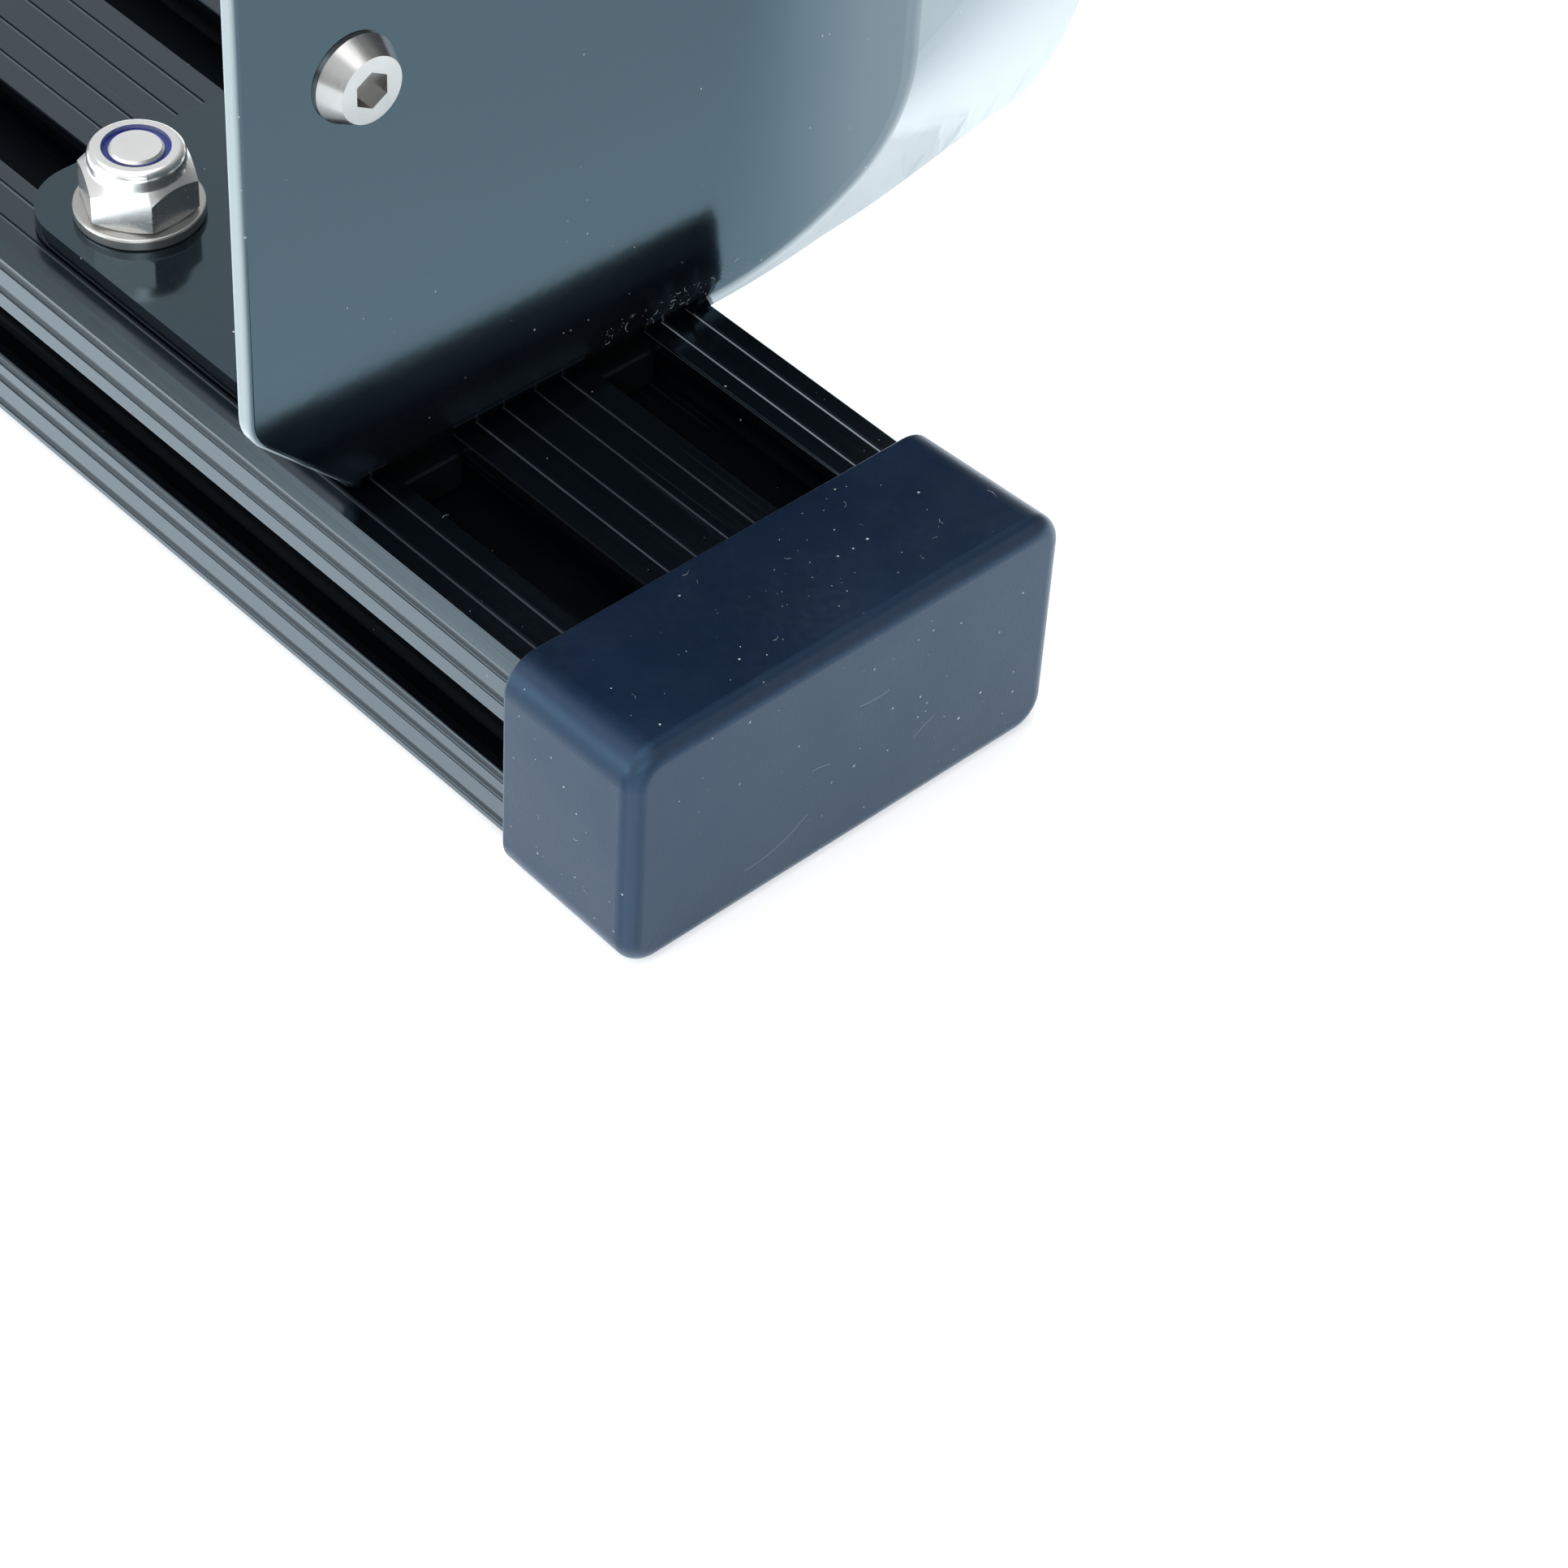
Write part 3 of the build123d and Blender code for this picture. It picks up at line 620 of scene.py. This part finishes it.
def droppedPatch(patch, sign, nodeName, look):
    # a grid dropped onto the node; cells that meet an edge or a hole are left out
    mesh = nodes[nodeName].data
    surface = BVHTree.FromPolygons([v.co for v in mesh.vertices], [p.vertices for p in mesh.polygons])
    half = Matrix.Rotation(0.0 if sign > 0 else math.pi, 4, "Z")
    keys = ("corner", "across", "along", "cast")
    corner, across, along, cast = (half @ Vector(patch[key]) for key in keys)
    cells = look["cells"]
    built = bmesh.new()
    grid = {}
    for i in range(cells + 1):
        for j in range(cells + 1):
            start = corner + across * (i / cells) + along * (j / cells)
            spot, normal, _, far = surface.ray_cast(start, cast)
            if spot is not None and normal.dot(cast) < -look["squarely"]:
                grid[i, j] = (built.verts.new(spot), far)
    for i in range(cells):
        for j in range(cells):
            ring = [grid.get(key) for key in ((i, j), (i + 1, j), (i + 1, j + 1), (i, j + 1))]
            if all(ring) and max(r[1] for r in ring) - min(r[1] for r in ring) < look["step"]:
                face = built.faces.new([r[0] for r in ring])
                face.normal_update()
                if face.normal.dot(cast) > 0:
                    face.normal_flip()
    result = bpy.data.meshes.new(patch["name"])
    built.to_mesh(result)
    built.free()
    return result


def scatterLint(patches, look):
    tree = buildScatter(scatterLook, lintMaterial(lintLook))
    sockets = {item.name: item.identifier for item in tree.interface.items_tree if item.in_out == "INPUT"}
    for number, patch in enumerate(patches):
        for end, sign in (("right", 1), ("left", -1)):
            label = patch["name"] + end.capitalize()
            nodeName = patch["node"] if patch["node"] == "crossbar" else patch["node"] + "_" + end
            carrier = bpy.data.objects.new(label + "Patch", droppedPatch(patch, sign, nodeName, look))
            bpy.context.scene.collection.objects.link(carrier)
            modifier = carrier.modifiers.new("scatter", "NODES")
            modifier.node_group = tree
            for key in ("Density", "Grain Radius", "Fibre Length", "Fibre Share"):
                modifier[sockets[key]] = patch[key]
            modifier[sockets["Seed"]] = look["firstSeed"] + 2 * number + (sign < 0)
            bpy.context.view_layer.update()
            done = carrier.evaluated_get(bpy.context.evaluated_depsgraph_get())
            piece = bpy.data.objects.new(label, bpy.data.meshes.new_from_object(done))
            bpy.context.scene.collection.objects.link(piece)
            bpy.data.objects.remove(carrier)
            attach(piece, "bar" if patch["body"] == "bar" else "foot_" + end)
            print(label, len(piece.data.polygons), "faces")


scatterLint(lintPatches, patchGrid)


# stage: a white table, soft light and the camera

stageLook = {
    "floorSize": 8.0, "floorColour": (0.90, 0.91, 0.92, 1), "floorRough": 0.9,
    # the table's own light: seen directly, and in reflections, which change along a direction
    "seenWhite": 0.48, "glossSide": (-0.6, 0.8, 0.0), "gloss": (-0.46, -0.28, 0.62, 1.22),
    "glossCast": (0.86, 0.99, 1.07, 1),
    # the room's light, and a soft glow in one part of it
    "lightSide": (-0.9, -0.3, 0.3), "light": (-0.2, 0.4, 0.18, 0.75), "lightCast": (0.95, 0.98, 1.0, 1),
    "nearSide": (0.50, -0.51, 0.70), "nearGlow": (0.75, 0.97, 0.0, 0.6),
    "white": (1, 1, 1, 1),
}

def buildFloor(look):
    half = look["floorSize"] / 2
    corners = [(-half, -half, 0), (half, -half, 0), (half, half, 0), (-half, half, 0)]
    mesh = bpy.data.meshes.new("tableTop")
    mesh.from_pydata(corners, [], [(0, 1, 2, 3)])
    table = bpy.data.objects.new("tableTop", mesh)
    bpy.context.scene.collection.objects.link(table)
    material, tree, shader = newMaterial("whiteTable")
    path = add(tree, "ShaderNodeLightPath").outputs
    gloss = maths(tree, "MAXIMUM", path["Is Glossy Ray"], path["Is Transmission Ray"])
    seen = times(tree, path["Is Camera Ray"], look["seenWhite"])
    # the table is brighter towards its far side, as it is under a long light there
    across = vectorMaths(tree, "DOT_PRODUCT", objectPlace(tree), look["glossSide"])["Value"]
    level = maths(tree, "ADD", seen, times(tree, gloss, remap(tree, across, *look["gloss"])))
    cast = mixColor(tree, path["Is Camera Ray"], look["glossCast"], look["white"])
    feed(tree, shader, Base_Color=look["floorColour"], Roughness=look["floorRough"],
         Emission_Color=cast, Emission_Strength=level)
    mesh.materials.append(material)


def buildWorld(look):
    world = bpy.data.worlds.new("studioRoom")
    world.use_nodes = True
    bpy.context.scene.world = world
    tree = world.node_tree
    heading = add(tree, "ShaderNodeTexCoord").outputs["Generated"]
    # the room is dim towards the near right and light towards the back and the left
    towards = vectorMaths(tree, "DOT_PRODUCT", heading, look["lightSide"])["Value"]
    # a soft glow from above the near right
    nearby = vectorMaths(tree, "DOT_PRODUCT", heading, look["nearSide"])["Value"]
    glow = remap(tree, nearby, *look["nearGlow"])
    level = maths(tree, "ADD", remap(tree, towards, *look["light"]), glow)
    # seen directly it is plain white
    seen = add(tree, "ShaderNodeLightPath").outputs["Is Camera Ray"]
    rest = times(tree, maths(tree, "SUBTRACT", 1.0, seen), level)
    feed(tree, tree.nodes["Background"], Strength=maths(tree, "ADD", seen, rest),
         Color=mixColor(tree, seen, look["lightCast"], look["white"]))


softboxes = [
    {"name": "overheadBox", "place": (0.2, -0.2, 1.7), "aim": (0.45, 0.0, 0.0),
     "size": (1.6, 1.6), "power": 16.0},
    {"name": "frontBox", "place": (1.9, -0.9, 0.8), "aim": (0.55, 0.0, 0.03),
     "size": (1.2, 0.9), "power": 10.0},
    {"name": "sideBox", "place": (-0.1, -1.6, 0.55), "aim": (0.45, 0.0, 0.03),
     "size": (1.2, 0.8), "power": 12.0},
]

def buildLights(boxes):
    for box in boxes:
        data = bpy.data.lights.new(box["name"], "AREA")
        data.shape = "RECTANGLE"
        data.size, data.size_y = box["size"]
        data.energy = box["power"]
        lamp = bpy.data.objects.new(box["name"], data)
        bpy.context.scene.collection.objects.link(lamp)
        lamp.location = box["place"]
        lamp.rotation_euler = (Vector(box["aim"]) - Vector(box["place"])).to_track_quat("-Z", "Y").to_euler()


# angles in degrees, the sensor and the lens in millimetres
cameraView = {
    "place": (0.8396, -0.2735, 0.3812), "azimuth": 44.779, "elevation": 44.536, "roll": 3.781,
    "sensor": 36.0, "lens": 108.1, "clip": 0.01,
}

def buildCamera(look):
    data = bpy.data.cameras.new("tableCamera")
    data.sensor_width = look["sensor"]
    data.lens = look["lens"]
    data.clip_start = look["clip"]
    camera = bpy.data.objects.new("tableCamera", data)
    bpy.context.scene.collection.objects.link(camera)
    azimuth, elevation, roll = (math.radians(look[key]) for key in ("azimuth", "elevation", "roll"))
    reach = math.cos(elevation)
    forward = Vector((-math.sin(azimuth) * reach, math.cos(azimuth) * reach, -math.sin(elevation)))
    level = Vector((math.cos(azimuth), math.sin(azimuth), 0))
    above = level.cross(forward)
    right = math.cos(roll) * level + math.sin(roll) * above
    up = -math.sin(roll) * level + math.cos(roll) * above
    turn = Matrix((right, up, -forward)).transposed()
    camera.matrix_world = Matrix.Translation(look["place"]) @ turn.to_4x4()
    bpy.context.scene.camera = camera


buildFloor(stageLook)
buildWorld(stageLook)
buildLights(softboxes)
buildCamera(cameraView)
bpy.context.scene.view_settings.view_transform = "Standard"
print("stage, lights and camera placed")
